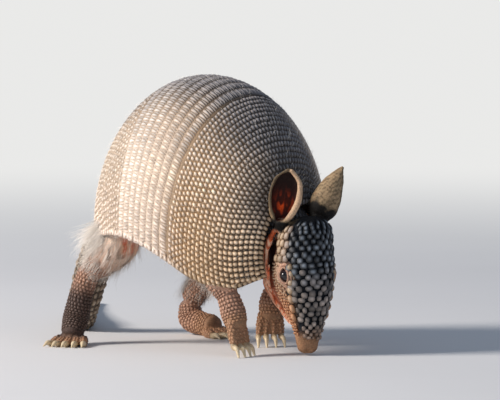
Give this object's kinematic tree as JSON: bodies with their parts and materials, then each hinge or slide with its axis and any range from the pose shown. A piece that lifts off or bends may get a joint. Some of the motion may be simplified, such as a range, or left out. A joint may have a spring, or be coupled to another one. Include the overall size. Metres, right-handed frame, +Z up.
{
  "type": "armadillo",
  "caption": "Life-size still armadillo with a banded shell, upright ears, clawed feet and a ringed tail, nosing the ground.",
  "frame": {"origin": "middle of the animal's footprint box, on the floor", "axes": "+Z up; the animal faces -Y and its left side is towards +X"},
  "size_m": [0.2922, 0.4542, 0.2137],
  "materials": {
    "shield": "satin",
    "band": "satin",
    "head_scale": "satin",
    "skin": "matte",
    "belly": "matte",
    "ear_skin": "matte",
    "eyeball": "gloss",
    "claw": "satin",
    "tail_scale": "satin"
  },
  "bodies": {
    "root": {"scapular_shield": "shield", "band_1": "band", "band_2": "band", "band_3": "band", "band_4": "band", "band_5": "band", "band_6": "band", "band_7": "band", "band_8": "band", "pelvic_shield": "shield", "head_shield": "head_scale", "trunk": "belly", "neck": "skin", "head": "skin", "eye_right": "eyeball", "eye_left": "eyeball", "ear_right": "ear_skin", "ear_left": "ear_skin", "fore_leg_right": "skin", "fore_foot_right": "skin", "fore_leg_left": "skin", "fore_foot_left": "skin", "hind_leg_right": "skin", "hind_foot_right": "skin", "hind_leg_left": "skin", "hind_foot_left": "skin", "fore_claw_right_1": "claw", "fore_claw_right_2": "claw", "fore_claw_right_3": "claw", "fore_claw_right_4": "claw", "fore_claw_left_1": "claw", "fore_claw_left_2": "claw", "fore_claw_left_3": "claw", "fore_claw_left_4": "claw", "hind_claw_right_1": "claw", "hind_claw_right_2": "claw", "hind_claw_right_3": "claw", "hind_claw_right_4": "claw", "hind_claw_right_5": "claw", "hind_claw_left_1": "claw", "hind_claw_left_2": "claw", "hind_claw_left_3": "claw", "hind_claw_left_4": "claw", "hind_claw_left_5": "claw", "tail_1": "tail_scale", "tail_2": "tail_scale", "tail_3": "tail_scale", "tail_4": "tail_scale", "tail_5": "tail_scale"}
  },
  "joints": []
}
